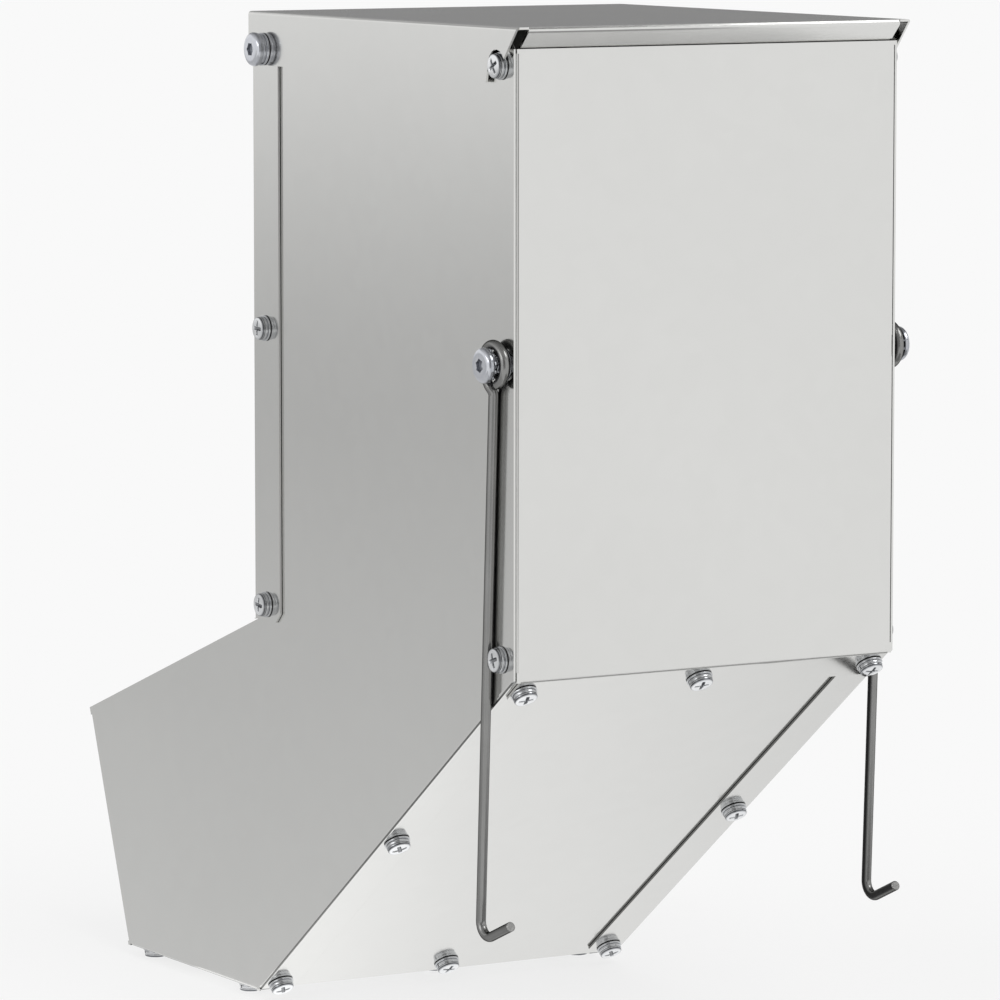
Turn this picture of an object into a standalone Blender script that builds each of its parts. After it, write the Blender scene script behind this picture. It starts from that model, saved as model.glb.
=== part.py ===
"""A galvanised rabbit feeder: a hopper that hangs outside the cage, with its trough inside.

Frame: +Z up, +Y away from the cage, X across. The origin is where the hopper's flat front face meets the cage,
midway across and level with the hook pivots. Heights below are counted from the trough's underside and the whole
feeder hangs from an empty that brings them to that origin. Left and right are as seen from behind the hopper, so
left is +X.

The sheet pieces are folded: each starts as one flat face, every flange is spun off an edge about its bend line,
and Solidify gives the open surface its thickness on the inner side.
"""

import math
from dataclasses import dataclass

import bmesh
import bpy
from mathutils import Matrix, Vector

MM = 0.001
DEG = math.pi / 180

# Sheet, and the clearances that every piece is placed by
SHEET = 0.8 * MM
LAP_GAP = 0.2 * MM  # between sheets that lap, and under a fastener's head
RUN_GAP = 0.3 * MM  # between pieces that move past each other
BEND_RADIUS = 1.2 * MM  # on the outside of a fold
HEM_RADIUS = 1.1 * MM
BEND_STEPS = 4
FLANGE_CLIP = 3.5 * MM  # the cut-off corner of a flange
RELIEF = 1.5 * MM  # the plain stretch between a flange and a corner

# Hopper and trough, as the side panel shows them
HOPPER_WIDTH = 157 * MM  # over the side panels
HOPPER_DEPTH = 189.2 * MM  # front face to back face
LID_HEIGHT = 365.6 * MM
THROAT_HEIGHT = 140.7 * MM  # lower edge of the hopper front
CHUTE_RISE = 141 * MM  # from the trough's underside to the back panel
LIP_REACH = 140.2 * MM
LIP_HEIGHT = 89.2 * MM
FLOOR_REACH = 107.9 * MM
SIDE_REAR_SETBACK = 0.6 * MM
SIDE_CORNER_CUT = 6.5 * MM  # off a side panel's rear top corner, under the lid's skirt

# Flanges and hems
SIDE_FLANGE = 15.2 * MM  # on a side panel, round the chute and the trough
WALL_FLANGE = 20 * MM  # on the hopper front and the back panel
BACK_FOOT = 15 * MM  # the back panel's lap over the chute
PAN_LAP = 14 * MM  # the pan's lap under the chute
BACK_SETBACK = 1 * MM  # the chute flange stops this short of the back panel
LIP_SETBACK = 3 * MM  # and the trough's wall flange this short of its lip
LIP_HEM = 9 * MM
FRONT_HEM = 8 * MM

# Lid
LID_FRONT_OVERHANG = 0.5 * MM
LID_REAR_OVERHANG = 5.2 * MM
LID_SKIRT = 19.5 * MM
LID_TAIL_FOLD = 135 * DEG
LID_TAIL_DROP = 7.2 * MM  # from the lid's top down to the tail's edge
LID_TAIL_SIDE_GAP = 4.7 * MM
LID_NOTCH_RADIUS = 5.7 * MM
LID_NOTCH_FLARE = 1.4 * MM
LID_NOTCH_OPENS = 28 * DEG
FRONT_TOP_OVER_PIVOT = 6 * MM

# Fixing rows and columns
TOP_ROW_BELOW_LID = 13.6 * MM
ROW_STEP = 102.5 * MM
REAR_COLUMN = 9 * MM  # in from the back face
FRONT_COLUMN = 9.5 * MM  # in from the front face
LID_PIVOT = 10.5 * MM  # in from the front face
LAP_COLUMN = 6.8 * MM  # in from a side panel's face, on the chute and the trough
CHUTE_TOP_ROW = 6.8 * MM
CHUTE_BOTTOM_ROW = 6 * MM
FLOOR_FRONT_ROW = 10 * MM
FLOOR_REAR_ROW = 19 * MM

# Small self-tapping screws with a captive washer and lock ring
SCREW_HEAD_RADIUS = 4.2 * MM
SCREW_HEAD_HEIGHT = 2.1 * MM
SCREW_WASHER = 0.8 * MM
SCREW_WASHER_RADIUS = 4.8 * MM
SCREW_RING = 0.5 * MM
SCREW_RING_RADIUS = 4 * MM
SCREW_RADIUS = 1.9 * MM
SCREW_LENGTH = 9.5 * MM
SCREW_TIP = 3 * MM
SCREW_HOLE = 2.2 * MM
SCREW_FACETS = 14

# Pivot bolts, their washers and lock nuts
BOLT_RADIUS = 3 * MM
BOLT_HOLE = 3.3 * MM
BOLT_HEAD_RADIUS = 6.2 * MM
BOLT_CROWN_RADIUS = 4 * MM
BOLT_HEAD_HEIGHT = 2.7 * MM
BOLT_HEAD_RIM = 1.5 * MM
BOLT_PAST_NUT = 1.5 * MM
BOLT_FACETS = 24
WASHER_RADIUS = 6 * MM
WASHER = 0.8 * MM
LOCK_WASHER_RADIUS = 5.6 * MM
LOCK_WASHER = 1.1 * MM
NUT_FLATS = 10 * MM
NUT_HEIGHT = 5 * MM
NUT_FIT = 0.2 * MM

# Wire hooks
WIRE_RADIUS = 1.75 * MM
EYE_RADIUS = 7 * MM  # to the wire's centre line
EYE_END = 20 * DEG  # where the eye's cut end stands, behind straight down
EYE_LEAVES = 40 * DEG  # below level, where the wire leaves the eye's front for the rod
ROD_OFFSET = 1.6 * MM  # the rod's centre line passes this far in front of the pivot
ROD_SET = 1 * MM  # and this much nearer to the panel than the eye does
NECK_BEND = 5 * MM
HOOK_LENGTH = 200.4 * MM  # eye centre to the bottom of the hook
HOOK_BEND = 5 * MM
HOOK_LEG = 14 * MM
HOOK_LEG_RISE = 26 * DEG
HOOK_PLAY = 0.3 * MM  # beside the eye, on each side
HOOK_LEAN = 1.6 * DEG  # the play lets a hook lean out over the front screws as it swings forward
WIRE_RESOLUTION = 3

# Trough divider
DIVIDER_FOOT = 12 * MM
DIVIDER_DROP = 12 * MM  # below the trough's side edge
DIVIDER_GAP = 4 * MM  # to the pan's front wall and to the chute
DIVIDER_SCREW_INSET = 15 * MM

# Places that follow from the sizes above
LAP = SHEET + LAP_GAP
BEND_INSIDE = BEND_RADIUS - SHEET
SIDE_X = HOPPER_WIDTH / 2
FRONT_X = SIDE_X + LAP
LID_X = FRONT_X + RUN_GAP + SHEET
INSERT_X = SIDE_X - SHEET - BEND_INSIDE  # half width of what sits inside the side panels' folds
BACK_X = SIDE_X - LAP
PIVOT_Z = LID_HEIGHT - TOP_ROW_BELOW_LID
HOOK_Z = PIVOT_Z - ROW_STEP
LOW_ROW_Z = HOOK_Z - ROW_STEP
REAR_Y = HOPPER_DEPTH - REAR_COLUMN
LAP_X = SIDE_X - LAP_COLUMN
SIDE_TOP = LID_HEIGHT - SHEET - RUN_GAP
FRONT_TOP = PIVOT_Z + FRONT_TOP_OVER_PIVOT
LID_TAIL_BOTTOM = LID_HEIGHT - LID_TAIL_DROP
BACK_TOP = LID_TAIL_BOTTOM - LAP_GAP * 2
PAN_FACE = SHEET + LAP_GAP
CHUTE_FACE = LAP
PAN_LAP_FACE = 2 * LAP


def unit(vector):
    return vector / vector.length


def crossing(point_a, along_a, point_b, along_b):
    """Where two lines of a plane meet, each given by a point and a direction."""
    return point_a + along_a * ((point_b - point_a).cross(along_b) / along_a.cross(along_b))


def inwards(start, end):
    """The unit vector square to an edge, towards the inside of a counter-clockwise outline."""
    along = unit(end - start)
    return Vector((-along.y, along.x))


def shifted_corner(before, corner, after, shift_before, shift_after):
    """The corner between two edges after each has moved inwards by its own shift."""
    return crossing(
        before + inwards(before, corner) * shift_before,
        corner - before,
        after + inwards(corner, after) * shift_after,
        after - corner,
    )


def arc(centre, radius, start, end, steps):
    """Points of a circular arc, its ends included."""
    turn = (end - start) / steps
    angles = [start + turn * i for i in range(steps + 1)]
    return [Vector((centre[0] + radius * math.cos(a), centre[1] + radius * math.sin(a))) for a in angles]


# The side panel's corners in (Y, Z), counter-clockwise seen from +X
FLOOR_FRONT = Vector((-FLOOR_REACH, 0))
FLOOR_REAR = Vector((0, 0))
CHUTE_END = Vector((HOPPER_DEPTH, CHUTE_RISE))
LIP = Vector((-LIP_REACH, LIP_HEIGHT))
CHUTE_UP = unit(CHUTE_END - FLOOR_REAR)
CHUTE_IN = inwards(FLOOR_REAR, CHUTE_END)
WALL_UP = unit(LIP - FLOOR_FRONT)
WALL_IN = inwards(LIP, FLOOR_FRONT)
SIDE_REAR_Y = HOPPER_DEPTH - SIDE_REAR_SETBACK
SIDE_FRONT_Y = BEND_RADIUS
THROAT = Vector((SIDE_FRONT_Y, THROAT_HEIGHT))
SIDE_CHUTE_END = crossing(FLOOR_REAR, CHUTE_UP, Vector((SIDE_REAR_Y, 0)), Vector((0, 1)))
# The back panel's fold, whose lower leaf lies outside the side panels' chute flanges
BACK_CORNER = crossing(FLOOR_REAR - CHUTE_IN * LAP, CHUTE_UP, Vector((HOPPER_DEPTH, 0)), Vector((0, 1)))


@dataclass
class Flange:
    """A strip folded inwards from one edge of a sheet. width is measured from the outside of the fold."""

    edge: int
    width: float
    fold: float = 90 * DEG
    start: float = 0.0
    end: float = 0.0
    radius: float = BEND_RADIUS
    clip: float = FLANGE_CLIP
    hem: "Flange" = None

    def setback(self):
        """How far the fold begins inside the outline, which a sharp fold meets at its outermost line."""
        return self.radius * math.tan(min(self.fold, 90 * DEG) / 2)


def sheet_outline(outline, flanges):
    """(corners, starts, ends): the flat face with its bend lines set back, and where each flange begins and ends."""
    count = len(outline)
    by_edge = {flange.edge: flange for flange in flanges}
    corners = []
    for i in range(count):
        came, goes = by_edge.get((i - 1) % count), by_edge.get(i)
        shift_came = came.setback() if came and came.end == 0 else 0.0
        shift_goes = goes.setback() if goes and goes.start == 0 else 0.0
        corners.append(
            shifted_corner(outline[i - 1], outline[i], outline[(i + 1) % count], shift_came, shift_goes)
        )
    points, starts, ends = [], {}, {}
    for i in range(count):
        points.append(corners[i])
        flange = by_edge.get(i)
        if flange is None:
            continue
        first, last = outline[i], outline[(i + 1) % count]
        along, inner = unit(last - first), inwards(first, last) * flange.setback()
        if flange.start > 0:
            points += [first + along * flange.start, first + along * flange.start + inner]
        starts[i] = len(points) - 1
        if flange.end > 0:
            points += [last - along * flange.end + inner, last - along * flange.end]
            ends[i] = len(points) - 2
        else:
            ends[i] = len(points)
    return points, starts, {i: end % len(points) for i, end in ends.items()}


def fold_out(bm, edge, along, outwards, normal, flange):
    """Spins the edge about its bend line, draws the flange out of it and folds its hem."""
    bend_line = edge.verts[0].co - normal * flange.radius
    spun = bmesh.ops.spin(
        bm, geom=[edge], cent=bend_line, axis=along, angle=flange.fold, steps=BEND_STEPS, use_duplicate=False
    )
    edge = next(item for item in spun["geom_last"] if isinstance(item, bmesh.types.BMEdge))
    turned_out = outwards * math.cos(flange.fold) - normal * math.sin(flange.fold)
    turned_normal = normal * math.cos(flange.fold) + outwards * math.sin(flange.fold)
    straight = flange.width - flange.setback()
    if flange.hem:
        straight -= flange.hem.setback()
    clip = 0.0 if flange.hem else flange.clip
    for length, narrowing in ((straight - clip, 0.0), (clip, clip)):
        if length <= 0:
            continue
        drawn = bmesh.ops.extrude_edge_only(bm, edges=[edge])["geom"]
        edge = next(item for item in drawn if isinstance(item, bmesh.types.BMEdge))
        middle = (edge.verts[0].co + edge.verts[1].co) / 2
        for vert in edge.verts:
            side = 1 if (vert.co - middle).dot(along) > 0 else -1
            vert.co += turned_out * length - along * (side * narrowing)
    if flange.hem:
        fold_out(bm, edge, along, turned_out, turned_normal, flange.hem)


def folded_sheet(name, outline, across, up, face, flanges, origin=(0, 0, 0), mirrored=False):
    """A folded piece. outline is its main outer face, counter-clockwise seen from outside, in the plane through
    face with axes across and up. The object's origin is at origin."""
    across, up, face = Vector(across), Vector(up), Vector(face)
    place = Matrix((across, up, across.cross(up))).transposed().to_4x4()
    place.translation = face - Vector(origin)
    points, starts, ends = sheet_outline([Vector(point) for point in outline], flanges)
    bm = bmesh.new()
    verts = [bm.verts.new((*point, 0)) for point in points]
    main = bm.faces.new(verts)
    for flange in flanges:
        first, last = verts[starts[flange.edge]], verts[ends[flange.edge]]
        along = unit(last.co - first.co)
        outwards = Vector((along.y, -along.x, 0))
        edge = bm.edges.get((first, last))
        fold_out(bm, edge, along, outwards, Vector((0, 0, 1)), flange)
    bmesh.ops.recalc_face_normals(bm, faces=bm.faces)
    if main.normal.z < 0:
        bmesh.ops.reverse_faces(bm, faces=bm.faces)
    bmesh.ops.transform(bm, matrix=place, verts=bm.verts)
    if mirrored:
        bmesh.ops.transform(bm, matrix=Matrix.Scale(-1, 4, (1, 0, 0)), verts=bm.verts)
        bmesh.ops.reverse_faces(bm, faces=bm.faces)
    obj = new_object(name, mesh_of(bm, name), GALVANISED, origin)
    wall = obj.modifiers.new("sheet", "SOLIDIFY")
    wall.thickness = SHEET
    wall.offset = -1
    wall.use_even_offset = True
    obj.data.shade_smooth()
    obj.data.set_sharp_from_angle(angle=40 * DEG)
    return obj


def mesh_of(bm, name):
    mesh = bpy.data.meshes.new(name)
    bm.to_mesh(mesh)
    bm.free()
    return mesh


def new_object(name, data, material, location=(0, 0, 0), rotation=None):
    obj = bpy.data.objects.new(name, data)
    obj.location = location
    if rotation:
        obj.rotation_mode = "QUATERNION"
        obj.rotation_quaternion = rotation
    if material and not data.materials:
        data.materials.append(material)
    obj.parent = FEEDER
    PARTS.objects.link(obj)
    return obj


def cut(obj, mesh, name):
    """Takes the solids of mesh, which is in the feeder's coordinates, out of obj."""
    cutter = bpy.data.objects.new(name, mesh)
    cutter.hide_render = True
    cutter.display_type = "WIRE"
    cutter.parent = FEEDER
    CUTTERS.objects.link(cutter)
    modifier = obj.modifiers.new(name, "BOOLEAN")
    modifier.operation = "DIFFERENCE"
    modifier.object = cutter


def drill(obj, holes):
    """Cuts round holes, each given by its centre, direction, radius and reach to both sides of the centre."""
    bm = bmesh.new()
    for centre, direction, radius, reach in holes:
        place = Matrix.Translation(centre) @ direction.to_track_quat("Z", "Y").to_matrix().to_4x4()
        bmesh.ops.create_cone(
            bm, cap_ends=True, segments=12, radius1=radius, radius2=radius, depth=2 * reach, matrix=place
        )
    cut(obj, mesh_of(bm, obj.name + "_drill"), obj.name + "_drill")


def prism(points, across, up, depth_from, depth_to, name):
    """A closed prism on an outline in the plane of across and up, between two depths along their cross product."""
    across, up = Vector(across), Vector(up)
    normal = across.cross(up)
    bm = bmesh.new()
    verts = [bm.verts.new(across * p[0] + up * p[1] + normal * depth_from) for p in points]
    face = bm.faces.new(verts)
    drawn = bmesh.ops.extrude_face_region(bm, geom=[face])["geom"]
    for item in drawn:
        if isinstance(item, bmesh.types.BMVert):
            item.co += normal * (depth_to - depth_from)
    bmesh.ops.recalc_face_normals(bm, faces=bm.faces)
    return mesh_of(bm, name)


def galvanised(name, colour, roughness):
    material = bpy.data.materials.new(name)
    material.use_nodes = True
    shader = material.node_tree.nodes["Principled BSDF"]
    shader.inputs["Base Color"].default_value = (*colour, 1)
    shader.inputs["Metallic"].default_value = 1
    shader.inputs["Roughness"].default_value = roughness
    return material


def side_panel(name, mirrored):
    """One side of hopper and trough, with flanges turned in behind the chute, under the trough and in front of it."""
    pivot = (LID_PIVOT, PIVOT_Z)
    swing = SIDE_TOP - PIVOT_Z  # the lid's top turns just outside this radius
    corner_turn = math.acos((SIDE_FRONT_Y - LID_PIVOT) / swing)
    rounded = arc(pivot, swing, 90 * DEG, corner_turn, 5)
    corner = [(SIDE_REAR_Y, BACK_TOP), (SIDE_REAR_Y - SIDE_CORNER_CUT, SIDE_TOP)]
    outline = [FLOOR_FRONT, FLOOR_REAR, SIDE_CHUTE_END, *corner, *rounded, THROAT, LIP]
    flanges = [
        Flange(0, SIDE_FLANGE, start=RELIEF, end=RELIEF),
        Flange(1, SIDE_FLANGE, start=RELIEF, end=BACK_SETBACK),
        Flange(len(outline) - 1, SIDE_FLANGE, start=LIP_SETBACK, end=RELIEF),
    ]
    return folded_sheet(name, outline, (0, 1, 0), (0, 0, 1), (SIDE_X, 0, 0), flanges, mirrored=mirrored)


def back_panel():
    """The hopper's back. Its side flanges stand inside the side panels and its foot laps outside the chute."""
    low, high = BACK_CORNER.y, BACK_TOP
    foot_fold = CHUTE_UP.angle(Vector((0, 1)))
    clear_of_chute = (PAN_LAP_FACE + LAP) / CHUTE_IN.y
    outline = [(-BACK_X, low), (BACK_X, low), (BACK_X, high), (-BACK_X, high)]
    flanges = [
        Flange(0, BACK_FOOT, fold=foot_fold, start=RELIEF, end=RELIEF),
        Flange(1, WALL_FLANGE, start=clear_of_chute, end=RELIEF),
        Flange(3, WALL_FLANGE, start=RELIEF, end=clear_of_chute),
    ]
    return folded_sheet("back_panel", outline, (-1, 0, 0), (0, 0, 1), (0, HOPPER_DEPTH, 0), flanges)


def hopper_front():
    """The flat face that stands against the cage. Its flanges lap outside the side panels and its foot is hemmed."""
    outline = [(-FRONT_X, THROAT_HEIGHT), (FRONT_X, THROAT_HEIGHT), (FRONT_X, FRONT_TOP), (-FRONT_X, FRONT_TOP)]
    hem_end = FRONT_X - INSERT_X
    flanges = [
        Flange(0, FRONT_HEM, fold=180 * DEG, radius=HEM_RADIUS, start=hem_end, end=hem_end),
        Flange(1, WALL_FLANGE, start=LAP_GAP, end=LAP_GAP),
        Flange(3, WALL_FLANGE, start=LAP_GAP, end=LAP_GAP),
    ]
    return folded_sheet("hopper_front", outline, (1, 0, 0), (0, 0, 1), (0, 0, 0), flanges)


def chute_panel():
    """The sloping floor of the hopper, held between the side panels' flanges, the back panel's foot and the pan."""
    face = CHUTE_FACE * CHUTE_IN
    pan_corner = shifted_corner(FLOOR_FRONT, FLOOR_REAR, CHUTE_END, PAN_FACE, PAN_LAP_FACE)
    low = pan_corner.dot(CHUTE_UP) + BEND_INSIDE
    back_inside = HOPPER_DEPTH - SHEET - RUN_GAP
    high = (back_inside - face.x) / CHUTE_UP.x
    outline = [(-INSERT_X, low), (INSERT_X, low), (INSERT_X, high), (-INSERT_X, high)]
    return folded_sheet("chute_panel", outline, (-1, 0, 0), (0, *CHUTE_UP), (0, *face), [])


def trough_pan():
    """Floor and front wall of the trough in one piece, with a hemmed lip and a lap that runs up inside the chute."""
    front = shifted_corner(LIP, FLOOR_FRONT, FLOOR_REAR, LAP, PAN_FACE)
    rear = shifted_corner(FLOOR_FRONT, FLOOR_REAR, CHUTE_END, PAN_FACE, PAN_LAP_FACE)
    lip = shifted_corner(THROAT, LIP, FLOOR_FRONT, 0, LAP)
    outline = [(-INSERT_X, front.x), (INSERT_X, front.x), (INSERT_X, rear.x), (-INSERT_X, rear.x)]
    hem = Flange(0, LIP_HEM, fold=180 * DEG, radius=HEM_RADIUS)
    flanges = [
        Flange(0, (lip - front).length, fold=WALL_UP.angle(Vector((-1, 0))), hem=hem),
        Flange(2, PAN_LAP, fold=CHUTE_UP.angle(Vector((1, 0)))),
    ]
    return folded_sheet("trough_pan", outline, (-1, 0, 0), (0, 1, 0), (0, 0, PAN_FACE), flanges)


def trough_divider():
    """An upright plate that parts the trough in two, with a foot screwed to the pan."""
    foot_face = PAN_FACE + SHEET + LAP_GAP
    front_low = shifted_corner(LIP, FLOOR_FRONT, FLOOR_REAR, LAP + DIVIDER_GAP, foot_face)
    front_high = shifted_corner(THROAT, LIP, FLOOR_FRONT, DIVIDER_DROP, LAP + DIVIDER_GAP)
    rear_low = Vector((FLOOR_REAR.x - DIVIDER_GAP, foot_face))
    slope = unit(THROAT - LIP)
    rear_high = crossing(front_high, slope, rear_low, Vector((0, 1)))
    outline = [front_low, rear_low, rear_high, front_high]
    flanges = [Flange(0, DIVIDER_FOOT, start=DIVIDER_FOOT / 2, end=DIVIDER_FOOT / 2)]
    return folded_sheet("trough_divider", outline, (0, 1, 0), (0, 0, 1), (SHEET / 2, 0, 0), flanges)


def lid():
    """A cap that turns on two bolts near its front. Its skirts hang outside everything and its tail folds under."""
    rear = HOPPER_DEPTH + LID_REAR_OVERHANG
    outline = [(-LID_X, -LID_FRONT_OVERHANG), (LID_X, -LID_FRONT_OVERHANG), (LID_X, rear), (-LID_X, rear)]
    turn_drop = BEND_RADIUS * (1 - math.cos(LID_TAIL_FOLD))
    tail = (LID_HEIGHT - turn_drop - LID_TAIL_BOTTOM) / math.sin(LID_TAIL_FOLD) + BEND_RADIUS
    flanges = [
        Flange(1, LID_SKIRT, clip=0.0),
        Flange(2, tail, fold=LID_TAIL_FOLD, start=LID_TAIL_SIDE_GAP, end=LID_TAIL_SIDE_GAP, clip=0.0),
        Flange(3, LID_SKIRT, clip=0.0),
    ]
    origin = (0, LID_PIVOT, PIVOT_Z)
    obj = folded_sheet("lid", outline, (1, 0, 0), (0, 1, 0), (0, 0, LID_HEIGHT), flanges, origin=origin)
    # Each skirt's rear end slants forward and then bows over the upper rear screw
    screw = Vector((REAR_Y, PIVOT_Z))
    bow = arc(screw, LID_NOTCH_RADIUS, 180 * DEG, LID_NOTCH_OPENS, 8)
    top = Vector((rear, LID_HEIGHT))
    past_top = top + unit(top - bow[-1]) * LID_SKIRT
    below = LID_HEIGHT - 2 * LID_SKIRT
    foot = Vector((bow[0].x - LID_NOTCH_FLARE, LID_HEIGHT - LID_SKIRT))
    under = foot + unit(foot - bow[0]) * LID_SKIRT
    waste = [under, (past_top.x + LID_SKIRT, below), (past_top.x + LID_SKIRT, past_top.y), past_top]
    outline = [*waste, *reversed(bow)]
    inner = FRONT_X + RUN_GAP / 2
    for side, hand in ((1, "left"), (-1, "right")):
        depths = sorted((side * inner, side * (LID_X + LID_SKIRT)))
        cut(obj, prism(outline, (0, 1, 0), (0, 0, 1), *depths, f"lid_{hand}_end"), f"lid_{hand}_end")
    return obj


def turned(name, profile, facets, material, location, outwards):
    """A turned piece from its outline in (radius, height), drawn from the top down its outer side."""
    if name not in TURNED:
        mesh = bpy.data.meshes.new(name)
        points = [(radius, 0, height) for radius, height in profile]
        mesh.from_pydata(points, [(i, i + 1) for i in range(len(points) - 1)], [])
        TURNED[name] = mesh
    obj = new_object(location[0], TURNED[name], material, location[1], outwards.to_track_quat("Z", "Y"))
    sweep = obj.modifiers.new("turn", "SCREW")
    sweep.steps = sweep.render_steps = facets
    sweep.use_merge_vertices = True
    sweep.merge_threshold = 1e-5
    sweep.use_smooth_shade = True
    return obj


def screw(name, at, outwards, sheets):
    """A pan-head screw standing at a point of the outermost sheet, and its holes in the sheets it passes."""
    base = LAP_GAP + SCREW_WASHER
    under_head = base + SCREW_RING
    top = under_head + SCREW_HEAD_HEIGHT
    profile = [
        (0, top),
        (SCREW_HEAD_RADIUS * 0.6, top - SCREW_HEAD_HEIGHT * 0.12),
        (SCREW_HEAD_RADIUS * 0.92, top - SCREW_HEAD_HEIGHT * 0.45),
        (SCREW_HEAD_RADIUS, under_head),
        (SCREW_RING_RADIUS, under_head),
        (SCREW_RING_RADIUS, base),
        (SCREW_WASHER_RADIUS, base),
        (SCREW_WASHER_RADIUS, LAP_GAP),
        (SCREW_RADIUS, LAP_GAP),
        (SCREW_RADIUS, SCREW_TIP - SCREW_LENGTH),
        (0, -SCREW_LENGTH),
    ]
    turned("pan_screw", profile, SCREW_FACETS, ZINC, (name, at), outwards)
    for sheet in sheets:
        HOLES.setdefault(sheet, []).append((at, outwards, SCREW_HOLE, SCREW_LENGTH))


def bolt(name, at, outwards, seat, grip, sheets):
    """A domed bolt whose head stands at seat above a point of the side panel, and its hole in each sheet."""
    top = seat + BOLT_HEAD_HEIGHT
    tip = -grip - NUT_HEIGHT - BOLT_PAST_NUT
    profile = [
        (0, top),
        (BOLT_CROWN_RADIUS, top),
        ((BOLT_CROWN_RADIUS + BOLT_HEAD_RADIUS) / 2, seat + (BOLT_HEAD_RIM + BOLT_HEAD_HEIGHT) * 0.55),
        (BOLT_HEAD_RADIUS, seat + BOLT_HEAD_RIM),
        (BOLT_HEAD_RADIUS, seat),
        (BOLT_RADIUS, seat),
        (BOLT_RADIUS, tip + SHEET),
        (BOLT_RADIUS - SHEET / 2, tip),
        (0, tip),
    ]
    turned(f"bolt_seat_{seat / MM:.1f}", profile, BOLT_FACETS, ZINC, (name, at), outwards)
    for sheet in sheets:
        HOLES.setdefault(sheet, []).append((at, outwards, BOLT_HOLE, BOLT_HEAD_RADIUS))


def ring(radius, facets, offset=0.0):
    return [(radius * math.cos(a), radius * math.sin(a)) for a in
            (offset + 2 * math.pi * i / facets for i in range(facets))]


def plate(name, outer, inner, thickness, at, outwards, low):
    """A washer or nut: an outline with a round hole, its lower face at low above a point, along outwards."""
    curve = bpy.data.curves.new(name, "CURVE")
    curve.dimensions = "2D"
    curve.fill_mode = "BOTH"
    curve.extrude = thickness / 2
    for points in (outer, inner):
        spline = curve.splines.new("POLY")
        spline.points.add(len(points) - 1)
        spline.use_cyclic_u = True
        for point, (x, y) in zip(spline.points, points):
            point.co = (x, y, 0, 1)
    centre = Vector(at) + outwards * (low + thickness / 2)
    return new_object(name, curve, ZINC, centre, outwards.to_track_quat("Z", "Y"))


def washer(name, at, outwards, low, radius=WASHER_RADIUS, thickness=WASHER):
    plate(name, ring(radius, BOLT_FACETS), ring(BOLT_HOLE, BOLT_FACETS // 2), thickness, at, outwards, low)


def lock_nut(name, at, outwards, high):
    outer = ring(NUT_FLATS / math.sqrt(3), 6)
    inner = ring(BOLT_RADIUS + NUT_FIT, BOLT_FACETS // 2)
    plate(name, outer, inner, NUT_HEIGHT, at, outwards, high - NUT_HEIGHT)


def hook_path():
    """The hook's centre line from the cut end of the eye, round it, down the rod to the tip, as (set, y, z). The
    neck sets the rod nearer to the panel than the eye."""
    eye = arc((0, 0), EYE_RADIUS, EYE_END - 90 * DEG, 180 * DEG + EYE_LEAVES, 18)
    rod = -ROD_OFFSET
    heading = Vector((math.sin(EYE_LEAVES), -math.cos(EYE_LEAVES)))
    neck = crossing(eye[-1], heading, Vector((rod, 0)), Vector((0, -1)))
    neck_centre = neck - Vector((NECK_BEND, NECK_BEND * math.tan(EYE_LEAVES / 2)))
    neck_bend = arc(neck_centre, NECK_BEND, EYE_LEAVES, 0, 3)
    bend_centre = Vector((rod + HOOK_BEND, HOOK_BEND - HOOK_LENGTH))
    bend = arc(bend_centre, HOOK_BEND, 180 * DEG, 270 * DEG + HOOK_LEG_RISE, 7)
    tip = bend[-1] + Vector((math.cos(HOOK_LEG_RISE), math.sin(HOOK_LEG_RISE))) * HOOK_LEG
    easing = [ROD_SET * (i + 1) / len(neck_bend) for i in range(len(neck_bend))]
    sets = [0.0] * len(eye) + easing + [ROD_SET] * (len(bend) + 1)
    return [(inset, *point) for inset, point in zip(sets, [*eye, *neck_bend, *bend, tip])]


def wire_hook(name, side):
    """A bent wire that turns on its bolt. At rest it hangs forward against the screw below its pivot."""
    curve = bpy.data.curves.new(name, "CURVE")
    curve.dimensions = "3D"
    curve.bevel_depth = WIRE_RADIUS
    curve.bevel_resolution = WIRE_RESOLUTION
    curve.use_fill_caps = True
    points = hook_path()
    spline = curve.splines.new("POLY")
    spline.points.add(len(points) - 1)
    for point, (inset, y, z) in zip(spline.points, points):
        point.co = (-side * inset, y, z, 1)
    hang = math.asin((SCREW_HEAD_RADIUS + WIRE_RADIUS + RUN_GAP - ROD_OFFSET) / ROW_STEP)
    turn = Matrix.Rotation(side * HOOK_LEAN, 3, "Z") @ Matrix.Rotation(-hang, 3, "X")
    at = (side * (SIDE_X + HOOK_STACK_EYE), REAR_Y, HOOK_Z)
    new_object(name, curve, WIRE, at, turn.to_quaternion())


# Where the pieces of a hook's stack lie above the side panel's face
HOOK_SPACER_LOW = LAP_GAP
HOOK_STACK_EYE = HOOK_SPACER_LOW + WASHER + HOOK_PLAY + WIRE_RADIUS
HOOK_WASHER_LOW = HOOK_STACK_EYE + WIRE_RADIUS + HOOK_PLAY
HOOK_BOLT_SEAT = HOOK_WASHER_LOW + WASHER + LAP_GAP
# and those of a lid pivot
LID_WASHER_LOW = LID_X - SIDE_X + RUN_GAP
LID_LOCK_LOW = LID_WASHER_LOW + WASHER + LAP_GAP
LID_BOLT_SEAT = LID_LOCK_LOW + LOCK_WASHER + LAP_GAP

HOLES = {}
TURNED = {}

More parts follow.
